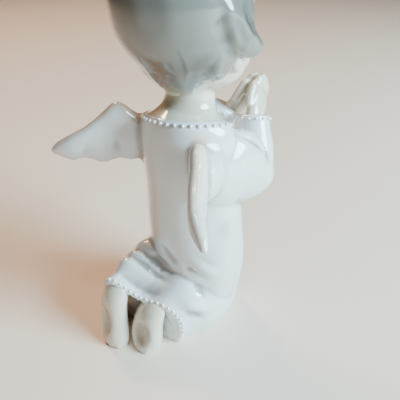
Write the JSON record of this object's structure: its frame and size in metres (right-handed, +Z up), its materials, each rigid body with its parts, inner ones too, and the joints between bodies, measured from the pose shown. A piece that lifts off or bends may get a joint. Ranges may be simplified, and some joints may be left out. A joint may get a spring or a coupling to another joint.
{
  "type": "kneeling praying child angel figurine",
  "caption": "Glazed porcelain figurine of a child angel kneeling in prayer, in a beaded gown with small spread wings; a shelf or table ornament.",
  "frame": {"origin": "on the flat underside, on the ground below the neck", "axes": "+Z up along the upright body, -Y the way the child faces, +X towards the child's left hand side"},
  "size_m": [0.0692, 0.0752, 0.1356],
  "materials": {
    "glazed_body": "clear high-gloss glaze over pale blue-white porcelain"
  },
  "bodies": {
    "root": {"kneeling_angel": "glazed_body"}
  },
  "joints": []
}
